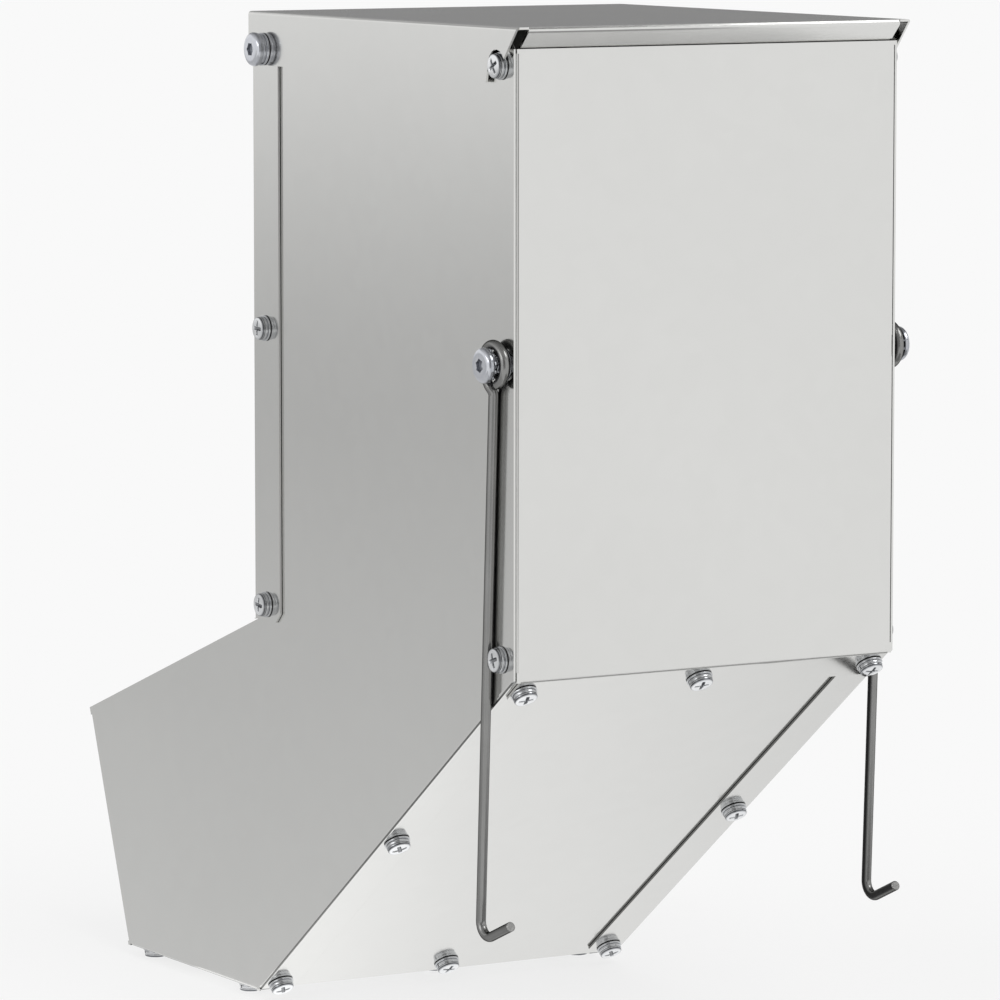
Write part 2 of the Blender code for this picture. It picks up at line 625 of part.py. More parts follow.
for old in list(bpy.data.objects):
    bpy.data.objects.remove(old)
PARTS = bpy.data.collections.new("rabbit_feeder")
CUTTERS = bpy.data.collections.new("cutters")
bpy.context.scene.collection.children.link(PARTS)
bpy.context.scene.collection.children.link(CUTTERS)
FEEDER = bpy.data.objects.new("feeder_frame", None)
FEEDER.location = (0, 0, -HOOK_Z)
PARTS.objects.link(FEEDER)
GALVANISED = galvanised("galvanised_sheet", (0.62, 0.62, 0.60), 0.32)
ZINC = galvanised("zinc_plated_steel", (0.66, 0.68, 0.70), 0.25)
WIRE = galvanised("steel_wire", (0.30, 0.30, 0.29), 0.30)

left_side = side_panel("side_panel_left", False)
right_side = side_panel("side_panel_right", True)
back = back_panel()
front = hopper_front()
chute = chute_panel()
pan = trough_pan()
divider = trough_divider()
cap = lid()

DOWN = Vector((0, 0, -1))
CHUTE_OUT = Vector((0, *-CHUTE_IN))
WALL_OUT = Vector((0, *-WALL_IN))
chute_top = BACK_CORNER.dot(CHUTE_UP) - CHUTE_TOP_ROW
chute_middle = (chute_top + CHUTE_BOTTOM_ROW) / 2
wall_middle = (FLOOR_FRONT + LIP) / 2


def on_chute(x, along, outside):
    """A point on the chute, at a height outside the side flanges' face."""
    return Vector((x, *(CHUTE_UP * along - CHUTE_IN * outside)))


for side, hand, panel in ((1, "left", left_side), (-1, "right", right_side)):
    out = Vector((side, 0, 0))
    on_side = side * SIDE_X
    on_flange = side * FRONT_X
    screw(f"side_screw_{hand}_rear_top", Vector((on_side, REAR_Y, PIVOT_Z)), out, [panel, back])
    screw(f"side_screw_{hand}_rear_low", Vector((on_side, REAR_Y, LOW_ROW_Z)), out, [panel, back])
    screw(f"side_screw_{hand}_front_mid", Vector((on_flange, FRONT_COLUMN, HOOK_Z)), out, [front, panel])
    screw(f"side_screw_{hand}_front_low", Vector((on_flange, FRONT_COLUMN, LOW_ROW_Z)), out, [front, panel])
    lap_x = side * LAP_X
    screw(f"chute_screw_{hand}_top", on_chute(lap_x, chute_top, LAP), CHUTE_OUT, [back, panel, chute])
    screw(f"chute_screw_{hand}_mid", on_chute(lap_x, chute_middle, 0), CHUTE_OUT, [panel, chute])
    screw(f"chute_screw_{hand}_low", on_chute(lap_x, CHUTE_BOTTOM_ROW, 0), CHUTE_OUT, [panel, chute, pan])
    screw(f"floor_screw_{hand}_front", Vector((lap_x, FLOOR_FRONT_ROW - FLOOR_REACH, 0)), DOWN, [panel, pan])
    screw(f"floor_screw_{hand}_rear", Vector((lap_x, -FLOOR_REAR_ROW, 0)), DOWN, [panel, pan])
    screw(f"wall_screw_{hand}", Vector((lap_x, *wall_middle)), WALL_OUT, [panel, pan])

    at_lid = Vector((on_side, LID_PIVOT, PIVOT_Z))
    bolt(f"lid_bolt_{hand}", at_lid, out, LID_BOLT_SEAT, LAP, [panel, front, cap])
    washer(f"lid_washer_{hand}", at_lid, out, LID_WASHER_LOW)
    washer(f"lid_lock_washer_{hand}", at_lid, out, LID_LOCK_LOW, LOCK_WASHER_RADIUS, LOCK_WASHER)
    lock_nut(f"lid_nut_{hand}", at_lid, out, -LAP)

    at_hook = Vector((on_side, REAR_Y, HOOK_Z))
    bolt(f"hook_bolt_{hand}", at_hook, out, HOOK_BOLT_SEAT, 2 * LAP, [panel, back])
    washer(f"hook_spacer_{hand}", at_hook, out, HOOK_SPACER_LOW)
    washer(f"hook_washer_{hand}", at_hook, out, HOOK_WASHER_LOW)
    lock_nut(f"hook_nut_{hand}", at_hook, out, -2 * LAP)
    wire_hook(f"hook_{hand}", side)

screw("chute_screw_centre_top", on_chute(0, chute_top, LAP), CHUTE_OUT, [back, chute])
screw("chute_screw_centre_low", on_chute(0, CHUTE_BOTTOM_ROW, -CHUTE_FACE), CHUTE_OUT, [chute, pan])
foot_x = SHEET / 2 - DIVIDER_FOOT / 2
for end, y in (("front", DIVIDER_SCREW_INSET - FLOOR_REACH), ("rear", -DIVIDER_SCREW_INSET)):
    screw(f"divider_screw_{end}", Vector((foot_x, y, PAN_FACE)), DOWN, [pan, divider])

for sheet, holes in HOLES.items():
    drill(sheet, holes)
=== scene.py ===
"""Looks of a galvanised rabbit feeder: bright rolled sheet, zinc-plated screws and bolts, and dark wire
hooks. All lengths are in metres."""

import bmesh
import bpy
import numpy as np
from mathutils import Matrix, Vector


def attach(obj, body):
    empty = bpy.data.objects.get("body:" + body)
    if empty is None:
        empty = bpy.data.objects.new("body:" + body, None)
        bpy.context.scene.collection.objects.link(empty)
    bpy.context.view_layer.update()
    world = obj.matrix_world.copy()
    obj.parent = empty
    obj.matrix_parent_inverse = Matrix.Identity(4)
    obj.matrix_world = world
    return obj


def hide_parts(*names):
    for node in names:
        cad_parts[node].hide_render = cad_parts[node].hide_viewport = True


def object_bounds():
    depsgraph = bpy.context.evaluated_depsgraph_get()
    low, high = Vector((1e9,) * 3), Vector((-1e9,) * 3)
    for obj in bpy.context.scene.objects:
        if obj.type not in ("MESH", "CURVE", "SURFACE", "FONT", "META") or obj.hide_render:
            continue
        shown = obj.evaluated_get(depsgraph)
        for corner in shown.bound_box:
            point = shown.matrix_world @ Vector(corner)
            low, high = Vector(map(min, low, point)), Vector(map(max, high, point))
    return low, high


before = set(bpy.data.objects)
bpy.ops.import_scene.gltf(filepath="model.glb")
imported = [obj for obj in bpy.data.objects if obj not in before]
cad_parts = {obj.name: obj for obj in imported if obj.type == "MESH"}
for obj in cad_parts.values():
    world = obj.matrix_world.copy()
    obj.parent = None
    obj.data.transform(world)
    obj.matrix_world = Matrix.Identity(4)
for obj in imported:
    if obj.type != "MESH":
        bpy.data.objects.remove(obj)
cad_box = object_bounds()

# The camera looks at the hopper's back and left side from a little above the lid, from far off through a
# long lens, as a catalogue picture does. Its upright lines stay nearly parallel.
CAMERA_AT = (1.1242, 1.9736, 0.1908)
CAMERA_TURN, CAMERA_RISE = 149.767, 6.53
SENSOR_WIDTH, LENS = 36, 218.26


def put(name, data):
    """A new object in the scene, at the origin, that holds the data."""
    made = bpy.data.objects.new(name, data)
    bpy.context.scene.collection.objects.link(made)
    return made


def looking_from(turn, rise):
    """How a camera or lamp stands that looks at the feeder from a direction: turn degrees round it,
    beginning at the trough's side, and rise degrees over the level."""
    turn, rise = np.radians((turn, rise))
    back = Vector((np.sin(turn) * np.cos(rise), -np.cos(turn) * np.cos(rise), np.sin(rise)))
    return back.to_track_quat("Z", "Y").to_euler()


camera = put("camera", bpy.data.cameras.new("camera"))
camera.data.sensor_width, camera.data.lens = SENSOR_WIDTH, LENS
camera.data.clip_start, camera.data.clip_end = 0.05, 100
camera.location = CAMERA_AT
camera.rotation_euler = looking_from(CAMERA_TURN, CAMERA_RISE)
bpy.context.scene.camera = camera
bpy.context.scene.view_settings.view_transform = "Standard"

# The panels, the chute, the trough and the lid are 0.8 mm steel sheet with a smooth bright zinc coat,
# sheared, folded on a press and left unpainted. The coat shows faint rolling lines and barely visible
# crystals, and the sheared edges are dull bare steel.
SHEET = 0.0008
SIDE_X, SIDE_FLANGE, FRONT_FLANGE = 0.0785, 0.0152, 0.0200
ZINC_SHADE, ZINC_LIGHT = (0.70, 0.70, 0.685, 1), (0.735, 0.735, 0.72, 1)
CUT_STEEL, RUBBED_CUT = (0.20, 0.20, 0.195, 1), (0.60, 0.60, 0.59, 1)
# The dark tone of a band of painted shade along the side panels' lower bends
FOLD_PAINTED_SHADE = (0.20, 0.20, 0.195, 1)
# How many go to a metre: lines and streaks across and along the rolling, clouds and crystals each way
LINES, STREAKS = (2600.0, 30.0), (420.0, 6.0)
CLOUDS, CRYSTALS = (9, 9, 9), (150, 150, 150)
SMOOTHEST_SHEET, ROUGHEST_SHEET, CUT_ROUGHER = 0.12, 0.17, 0.3
SCOURED_METAL = 0.7
# How far the tones of a sheared edge and of a scoured face reach into the sheet
CUT_SKIN, FED_SKIN = 0.00002, 0.00012
# The band of painted shade along the side panels' lower bends: how far in from the outer face its middle
# lies, its half width and its top
FOLD_SHADE_IN, FOLD_SHADE_HALF, FOLD_SHADE_TOP = 0.0005, 0.00027, -0.1095


class Finish:
    """The nodes of a material or of the surroundings, joined by naming each new node's inputs."""

    def __init__(self, owner, shader="Principled BSDF", output="Material Output"):
        owner.use_nodes = True
        self.owner, self.tree = owner, owner.node_tree
        self.shader, self.output = self.tree.nodes[shader], self.tree.nodes[output]

    def join(self, node, inputs):
        """Links or writes each value into the input so named, or so numbered after an underscore."""
        for key, value in inputs.items():
            socket = node.inputs[int(key[1:]) if key[1:].isdigit() else key.replace("_", " ")]
            if isinstance(value, bpy.types.NodeSocket):
                self.tree.links.new(value, socket)
            else:
                socket.default_value = value

    def node(self, kind, settings=None, **inputs):
        """A new node with its settings and inputs."""
        made = self.tree.nodes.new(kind)
        for key, value in (settings or {}).items():
            setattr(made, key, value)
        self.join(made, inputs)
        return made

    def math(self, operation, *values):
        """What the operation makes of the values."""
        inputs = {f"_{number}": value for number, value in enumerate(values)}
        return self.node("ShaderNodeMath", {"operation": operation}, **inputs).outputs[0]

    def place(self, scale):
        """Points of the piece in metres, stretched by scale along each axis."""
        at = self.node("ShaderNodeTexCoord").outputs["Object"]
        return self.node("ShaderNodeMapping", Vector=at, Scale=scale).outputs["Vector"]

    def noise(self, scale, detail):
        """Soft noise from 0 to 1, with so many patches to a metre along each axis."""
        made = self.node("ShaderNodeTexNoise", Vector=self.place(scale), Scale=1.0, Detail=detail)
        return made.outputs["Fac"]

    def painted_shade_and_cut(self):
        """The painted shade that the mesh gives each point, which on a wire also marks the cut ends."""
        return self.node("ShaderNodeAttribute", {"attribute_name": "painted_shade_and_cut"}).outputs["Fac"]

    def mixed(self, amount, low, high):
        """A colour between low and high."""
        return self.node("ShaderNodeMix", {"data_type": "RGBA"}, _0=amount, _6=low, _7=high).outputs[2]

    def ranged(self, value, low, high):
        """A value from 0 to 1 moved into low to high."""
        return self.node("ShaderNodeMapRange", Value=value, To_Min=low, To_Max=high).outputs[0]

    def relief(self, height, strength, distance):
        """The tilt of a surface that rises by distance where the height goes from 0 to 1."""
        made = self.node("ShaderNodeBump", Strength=strength, Distance=distance, Height=height)
        return made.outputs["Normal"]

    def shade(self, **inputs):
        """Sets inputs of the shader."""
        self.join(self.shader, inputs)

    def show(self, shader):
        """Puts another shader in the place of the plain one."""
        self.tree.links.new(shader, self.output.inputs["Surface"])


def bright_sheet(name, rolled, edge=None, fold_shade=None, fed=None):
    """Galvanised sheet, whose rolling lines run along the axis rolled. edge is an axis, a distance and a
    tone: what lies nearer the middle than that, or past it for a negative distance, is a sheared edge.
    A band of painted shade along a bend is given by its distance from the middle, its half width and
    its top. fed is the distance from the middle of the face that feed has scoured matte, or 0 where it
    has scoured both. Both distances are measured along the edge's axis."""
    finish = Finish(bpy.data.materials.new(name))
    fine, coarse = [LINES[0]] * 3, [STREAKS[0]] * 3
    fine[rolled], coarse[rolled] = LINES[1], STREAKS[1]
    lines, streaks, clouds = finish.noise(fine, 3), finish.noise(coarse, 2), finish.noise(CLOUDS, 2)
    cells = finish.node("ShaderNodeTexVoronoi", Vector=finish.place(CRYSTALS), Scale=1.0).outputs["Color"]
    crystal = finish.node("ShaderNodeSeparateColor", Color=cells).outputs[0]
    patchy = finish.math("ADD", clouds, finish.ranged(crystal, -0.12, 0.12))
    colour = finish.mixed(patchy, ZINC_SHADE, ZINC_LIGHT)
    rough = finish.ranged(streaks, SMOOTHEST_SHEET, ROUGHEST_SHEET)
    rough = finish.math("ADD", rough, finish.ranged(crystal, -0.008, 0.008))
    metal = 1 if fed is None else SCOURED_METAL
    if edge:
        axis, reach, tone = edge
        at = finish.node("ShaderNodeSeparateXYZ", Vector=finish.place((1, 1, 1))).outputs
        across = finish.math("ABSOLUTE", at[axis])
        bare = finish.math("LESS_THAN" if reach > 0 else "GREATER_THAN", across, abs(reach))
        colour = finish.mixed(bare, colour, tone)
        rough = finish.math("ADD", rough, finish.ranged(bare, 0, CUT_ROUGHER))
    # Painted shade: a dark band along the side panel's bend into its flanges, below a height
    if fold_shade:
        middle, half, top = fold_shade
        band, below = finish.math("COMPARE", across, middle, half), finish.math("LESS_THAN", at[2], top)
        colour = finish.mixed(finish.math("MULTIPLY", band, below), colour, FOLD_PAINTED_SHADE)
    if fed:
        metal = finish.ranged(finish.math("COMPARE", across, fed, FED_SKIN), 1, SCOURED_METAL)
    relief = finish.relief(lines, 0.05, 0.00002)
    finish.shade(Metallic=metal, Base_Color=colour, Roughness=rough, Normal=relief)
    return finish.owner


SIDE_MARKS = {
    "edge": (0, SIDE_X - SIDE_FLANGE + CUT_SKIN, CUT_STEEL),
    "fold_shade": (SIDE_X - FOLD_SHADE_IN, FOLD_SHADE_HALF, FOLD_SHADE_TOP),
    "fed": SIDE_X - SHEET,
}
for name, rolled, marks in (
    ("side_panel_left", 2, SIDE_MARKS),
    ("side_panel_right", 2, SIDE_MARKS),
    ("hopper_front", 2, {"edge": (1, CUT_SKIN - FRONT_FLANGE, RUBBED_CUT)}),
    ("back_panel", 2, {}),
    ("chute_panel", 1, {}),
    ("trough_pan", 0, {"fed": 0}),
    ("trough_divider", 1, {"fed": 0}),
    ("lid", 0, {}),
):
    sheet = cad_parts[name]
    sheet.data.materials.clear()
    sheet.data.materials.append(bright_sheet(name + "_zinc_coat", rolled, **marks))

# The small pan-head screws are zinc-plated self-tapping ones with a captive washer and a split lock ring
# under a head with a cross recess. Each replaces its plain solid and stands on the sheet that the solid
# stands on.
LAP, LAP_GAP = 0.0010, 0.0002
SCREW_WASHER, SCREW_WASHER_RADIUS = 0.0007, 0.0048
SCREW_RING, SCREW_RING_RADIUS = 0.0013, 0.0044
SCREW_HEAD, SCREW_HEAD_RADIUS, SCREW_CROWN = 0.0014, 0.0042, 0.0004
SCREW_RADIUS, SCREW_LENGTH, SCREW_POINT = 0.0019, 0.0095, 0.003
SCREW_THREAD, SCREW_PITCH = 0.0004, 0.0013
RECESS_ARM, RECESS_HALF, RECESS_DEPTH = 0.0027, 0.0006, 0.0011
STAMPED_ROUND, RING_ROUND, RING_SLIT = 0.00012, 0.0001, 0.10
SCREW_PLATE = (0.80, 0.82, 0.85, 1), (0.90, 0.905, 0.905, 1)
# The dark tone of the painted shade in recesses, between parts and along edges
PAINTED_SHADE_PLATE = (0.085, 0.09, 0.10, 1)
SMOOTHEST_PLATE, ROUGHEST_PLATE, DULL_ROUGHER = 0.10, 0.20, 0.12

# Where the screws stand. Heights run from the trough's underside and depths from the hopper's front, and
# the hooks' pivots, where the frame's own heights begin, are at HOOK_HEIGHT.
HOOK_HEIGHT, LOW_ROW, TOP_ROW = 0.2495, 0.1470, 0.3520
FRONT_COLUMN, REAR_COLUMN, DEPTH = 0.0095, 0.1802, 0.1892
OUTER_FLANGE_X, LAP_X, DIVIDER_FOOT_X = 0.0795, 0.0717, -0.0056
CHUTE_RISE = 0.1410
TROUGH_FOOT, TROUGH_LIP, TROUGH_RISE = 0.1079, 0.1402, 0.0892
CHUTE_UP = np.array([0.0, DEPTH, CHUTE_RISE]) / np.hypot(DEPTH, CHUTE_RISE)
CHUTE_IN = np.array([0.0, -CHUTE_UP[2], CHUTE_UP[1]])
TROUGH_SPREAD = TROUGH_LIP - TROUGH_FOOT
WALL_OUT = np.array([0.0, -TROUGH_RISE, -TROUGH_SPREAD]) / np.hypot(TROUGH_SPREAD, TROUGH_RISE)
DOWN = (0, 0, -1)


def grid_faces(rows, columns, wrap_rows=False):
    """Quads of a grid whose columns close round, and whose rows may: each joins a point to the next in
    its row and to the two beside them in the next row."""
    row = np.arange(rows if wrap_rows else rows - 1)[:, None]
    column = np.arange(columns)[None, :]
    here, after, beside = row * columns, (row + 1) % rows * columns, (column + 1) % columns
    corners = (here + column, here + beside, after + beside, after + column)
    return np.stack(np.broadcast_arrays(*corners), -1).reshape(-1, 4)


def piece(name, parts, place, body, finish, node, sharp=34):
    """One mesh that stands for a node, moved by place. Each of its parts is a grid of points in rows and
    columns and whether its rows close. A point is x, y, z and its painted shade, which on a wire also
    marks the cut ends. Points of a part that meet become one, so a row of zero radius closes to a pole.
    Edges of more than sharp degrees stay hard."""
    bm = bmesh.new()
    for grid, wrap_rows in parts:
        rows, columns = grid.shape[:2]
        part = bpy.data.meshes.new(name)
        part.from_pydata(grid[..., :3].reshape(-1, 3), [], grid_faces(rows, columns, wrap_rows))
        part.attributes.new("painted_shade_and_cut", "FLOAT", "POINT").data.foreach_set("value", grid[..., 3].ravel())
        start = len(bm.verts)
        bm.from_mesh(part)
        bm.verts.ensure_lookup_table()
        bmesh.ops.remove_doubles(bm, verts=bm.verts[start:], dist=1e-7)
        bpy.data.meshes.remove(part)
    bmesh.ops.recalc_face_normals(bm, faces=bm.faces)
    bmesh.ops.transform(bm, matrix=place, verts=bm.verts)
    mesh = bpy.data.meshes.new(name)
    bm.to_mesh(mesh)
    bm.free()
    mesh.materials.append(finish)
    mesh.shade_smooth()
    mesh.set_sharp_from_angle(angle=np.radians(sharp))
    made = put(name, mesh)
    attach(made, body)
    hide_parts(node)


def fastener(name, parts, place, finish):
    """A zinc-plated piece on the hopper, in the place of the solid of that name."""
    piece("fine_" + name, parts, place, "hopper", finish, name)


def standing(at, outwards, turn):
    """Where a fastener stands: its axis along outwards from the point at, turned about that axis."""
    facing = Vector(outwards).to_track_quat("Z", "Y").to_matrix().to_4x4()
    return Matrix.Translation(Vector(at)) @ facing @ Matrix.Rotation(turn, 4, "Z")


def round_angles(count):
    """Even angles once round."""
    return np.linspace(0, 2 * np.pi, count, endpoint=False)


def around(reach, angle, height, shade_and_cut):
    """Points at a reach from the axis, an angle round it and a height along it, with their painted shade.
    """
    return np.stack(np.broadcast_arrays(reach * np.cos(angle), reach * np.sin(angle), height, shade_and_cut), -1)


def turned(profile, count):
    """A surface of revolution: each (radius, height, painted shade) of the profile turns round the axis."""
    radius, height, shade_and_cut = np.array(profile).T[:, :, None]
    return around(radius, round_angles(count), height, shade_and_cut)


def smooth_step(value):
    """From 0 to 1 with level ends: three squares less two cubes of the value."""
    value = np.clip(value, 0, 1)
    return value * value * (3 - 2 * value)


def pan_head(base, height, radius, count=96, rows=44):
    """The head's top and side. The crown falls as the cube of the radius, and the cross recess sinks by
    how far a point lies inside the nearer of two crossed bars, so its walls slope. It is deepest in the
    middle."""
    reach = (radius * np.sqrt(np.linspace(0, 1, rows)) * 0.95)[:, None]
    angle = round_angles(count)[None, :]
    x, y = np.abs(reach * np.cos(angle)), np.abs(reach * np.sin(angle))
    outside = np.minimum(
        np.maximum(x / RECESS_ARM - 1, y / RECESS_HALF - 1),
        np.maximum(y / RECESS_ARM - 1, x / RECESS_HALF - 1),
    )
    sunk = smooth_step((0.15 - outside) / 0.4) * (1 - (reach / RECESS_ARM) ** 2 * 0.6).clip(0, 1)
    # Painted shade darkens the cross recess by its depth and the crown towards its edge; the rim's third
    # numbers are painted shade too
    shade_and_cut = np.maximum(0.75 * smooth_step(2.5 * sunk), 0.5 * smooth_step((reach / radius - 0.84) / 0.12))
    crown = base + height - SCREW_CROWN * (reach / radius) ** 3
    rim = turned(
        [
            (radius * 0.985, base + 0.00088, 0.8),
            (radius, base + 0.00074, 1),
            (radius, base + 0.00050, 0.9),
            (radius, base + 0.00036, 0.4),
            (radius * 0.99, base + 0.00004, 0.4),
            (radius * 0.97, base, 0.8),
            (0, base, 1),
        ],
        count,
    )
    return np.concatenate([around(reach, angle, crown - RECESS_DEPTH * sunk, shade_and_cut), rim])


def threaded(radius, depth, pitch, start, end, taper, count=20, per_turn=10):
    """A thread: the radius falls and rises once for each pitch of height, shifted round the axis as a
    screw's does, and shrinks to a point over the taper, unless that is 0."""
    rows = int(abs(end - start) / pitch * per_turn)
    height = np.linspace(start, end, rows)[:, None]
    angle = round_angles(count)[None, :]
    turn = (height / pitch - angle / (2 * np.pi)) % 1
    crest = 1 - np.abs(2 * turn - 1)
    left = np.clip((height - end) / taper, 0, 1) if taper else 1
    reach = (radius - depth * (1 - smooth_step(crest * 1.6))) * (0.12 + 0.88 * np.sqrt(left))
    # Painted shade darkens the thread's roots
    body = around(reach, angle, height, 0.5 * (1 - crest))
    on_axis = (0, 0, 1, 1)
    return np.concatenate([body[:1] * on_axis, body, body[-1:] * on_axis])


def flat_ring(inner, outer, low, high, shade_and_cut=0.4):
    """A stamped washer: a rectangle with its corners rounded off, turned round the axis. Its edge is
    rougher and has more painted shade than its faces, and the corners have the most."""
    r = STAMPED_ROUND
    return turned(
        [
            (inner, low + r, 1),
            (inner, high - r, 1),
            (inner + r, high, 0.9),
            (outer - 2 * r, high, 0.4),
            (outer - 0.5 * r, high - 0.5 * r, 0.35),
            (outer, high - 1.5 * r, shade_and_cut),
            (outer, low + 1.5 * r, shade_and_cut),
            (outer - 0.3 * r, low + 0.3 * r, 0.8),
            (outer - 2 * r, low, 1),
            (inner + r, low, 1),
        ],
        64,
    )


def split_ring(inner, outer, low, high, climb, count=72):
    """A spring lock washer: a rectangle carried round the axis from one side of its slit to the other,
    climbing a little on the way, with its ends closed."""
    angle = np.linspace(RING_SLIT / 2, 2 * np.pi - RING_SLIT / 2, count)[:, None] - np.pi
    r = RING_ROUND
    # The third number of each point is painted shade: darkest on the inner faces, lightest on the outer
    # edge
    profile = [
        (inner, low + r, 1),
        (inner + r, low, 1),
        (outer - r, low, 0.5),
        (outer, low + 2 * r, 0.38),
        (outer, high - 2 * r, 0.38),
        (outer - r, high, 0.5),
        (inner + r, high, 1),
        (inner, high - r, 1),
    ]
    radius, height, shade_and_cut = np.array(profile).T[:, None, :]
    body = around(radius, angle, height + climb * angle / (2 * np.pi), shade_and_cut)
    ends = body[[0, -1]].mean(axis=1, keepdims=True) * np.ones((1, len(profile), 1))
    return np.concatenate([ends[:1], body, ends[1:]])


def zinc_plate(name, tones):
    """Bright zinc plate: nearly a mirror, with a faint blue cast that comes and goes and fine handling
    marks. Painted shade darkens and roughens it in the recesses, between parts and along stamped edges."""
    finish = Finish(bpy.data.materials.new(name))
    cast, marks = finish.noise((500, 500, 500), 2), finish.noise((2200, 2200, 2200), 3)
    shade_and_cut = finish.painted_shade_and_cut()
    rough = finish.ranged(marks, SMOOTHEST_PLATE, ROUGHEST_PLATE)
    finish.shade(
        Metallic=1,
        Base_Color=finish.mixed(shade_and_cut, finish.mixed(cast, *tones), PAINTED_SHADE_PLATE),
        Roughness=finish.math("ADD", rough, finish.ranged(shade_and_cut, 0, DULL_ROUGHER)),
        Normal=finish.relief(marks, 0.08, 0.00002),
    )
    return finish.owner


SCREW_ZINC = zinc_plate("bright_zinc_plate", SCREW_PLATE)


def pan_screw(name, at, outwards, turn):
    """Washer, ring and head stacked outwards from the point at, on a threaded shank that goes inwards."""
    ring_low = LAP_GAP + SCREW_WASHER
    head_low = ring_low + SCREW_RING
    ring = (SCREW_RADIUS + 0.0002, SCREW_RING_RADIUS, ring_low + 0.00006, head_low - 0.00006, 0.00003)
    parts = [
        (pan_head(head_low, SCREW_HEAD, SCREW_HEAD_RADIUS), False),
        (split_ring(*ring), False),
        (flat_ring(SCREW_RADIUS + 0.0001, SCREW_WASHER_RADIUS, LAP_GAP, ring_low), True),
        (threaded(SCREW_RADIUS, SCREW_THREAD, SCREW_PITCH, head_low, -SCREW_LENGTH, SCREW_POINT), False),
    ]
    fastener(name, parts, standing(at, outwards, turn), SCREW_ZINC)


def on_chute(x, along, outside):
    """The point at x that lies so far up along the chute and so far outside its face."""
    return np.array([x, 0, 0]) + CHUTE_UP * along - CHUTE_IN * outside


chute_top = (DEPTH - LAP * CHUTE_UP[2]) / CHUTE_UP[1] - 0.0068
chute_low = 0.006
chute_middle = (chute_top + chute_low) / 2
screws = [
    ("chute_screw_centre_top", on_chute(0, chute_top, LAP), -CHUTE_IN),
    ("chute_screw_centre_low", on_chute(0, chute_low, -LAP), -CHUTE_IN),
    ("divider_screw_front", (DIVIDER_FOOT_X, 0.015 - TROUGH_FOOT, LAP), DOWN),
    ("divider_screw_rear", (DIVIDER_FOOT_X, -0.015, LAP), DOWN),
]
for side, hand in ((1, "left"), (-1, "right")):
    out = (side, 0, 0)
    screws += [
        (f"side_screw_{hand}_rear_top", (side * SIDE_X, REAR_COLUMN, TOP_ROW), out),
        (f"side_screw_{hand}_rear_low", (side * SIDE_X, REAR_COLUMN, LOW_ROW), out),
        (f"side_screw_{hand}_front_mid", (side * OUTER_FLANGE_X, FRONT_COLUMN, HOOK_HEIGHT), out),
        (f"side_screw_{hand}_front_low", (side * OUTER_FLANGE_X, FRONT_COLUMN, LOW_ROW), out),
        (f"chute_screw_{hand}_top", on_chute(side * LAP_X, chute_top, LAP), -CHUTE_IN),
        (f"chute_screw_{hand}_mid", on_chute(side * LAP_X, chute_middle, 0), -CHUTE_IN),
        (f"chute_screw_{hand}_low", on_chute(side * LAP_X, chute_low, 0), -CHUTE_IN),
        (f"floor_screw_{hand}_front", (side * LAP_X, 0.010 - TROUGH_FOOT, 0), DOWN),
        (f"floor_screw_{hand}_rear", (side * LAP_X, -0.019, 0), DOWN),
        (f"wall_screw_{hand}", (side * LAP_X, -(TROUGH_FOOT + TROUGH_LIP) / 2, TROUGH_RISE / 2), WALL_OUT),
    ]
for number, (name, at, outwards) in enumerate(screws):
    pan_screw(name, np.array(at) - (0, 0, HOOK_HEIGHT), outwards, 0.2 + 0.35 * np.sin(5.1 * number))

# The pivots are M6 button-head bolts with a hexagon socket. A lid bolt holds a flat washer and a spring
# ring over the skirt, a hook bolt holds the wire's eye between a spacer and a toothed washer, and both
# end in a nylon-ring lock nut inside the hopper.
BOLT_RADIUS, BOLT_THREAD, BOLT_PITCH, BOLT_END = 0.0030, 0.00045, 0.0010, 0.0015
BOLT_HEAD, BOLT_RIM, BOLT_HEAD_RADIUS, BOLT_CROWN = 0.0027, 0.0013, 0.0062, 0.0041
SOCKET_HALF, SOCKET_DEPTH, SOCKET_ROWS = 0.0021, 0.0012, 13
NUT_HALF, NUT_HEIGHT = 0.0050, 0.0050
HOLE_RADIUS, WASHER_RADIUS, SPRING_RADIUS = 0.0033, 0.0060, 0.0058
TEETH, TOOTH_DEPTH, TOOTH_TWIST, TOOTH_ROUND = 12, 0.0007, 0.00012, 0.00008
LID_COLUMN, LID_TOP_SEAT, HOOK_SEAT = 0.0105, 0.0047, 0.0061
BOLT_PLATE = (0.66, 0.68, 0.75, 1), (0.76, 0.775, 0.80, 1)


def hexagon(angle):
    """How far a hexagon of flats one apart from the centre reaches at an angle: one over the cosine of
    the angle from the middle of the nearest flat."""
    return 1 / np.cos((angle + np.pi / 6) % (np.pi / 3) - np.pi / 6)


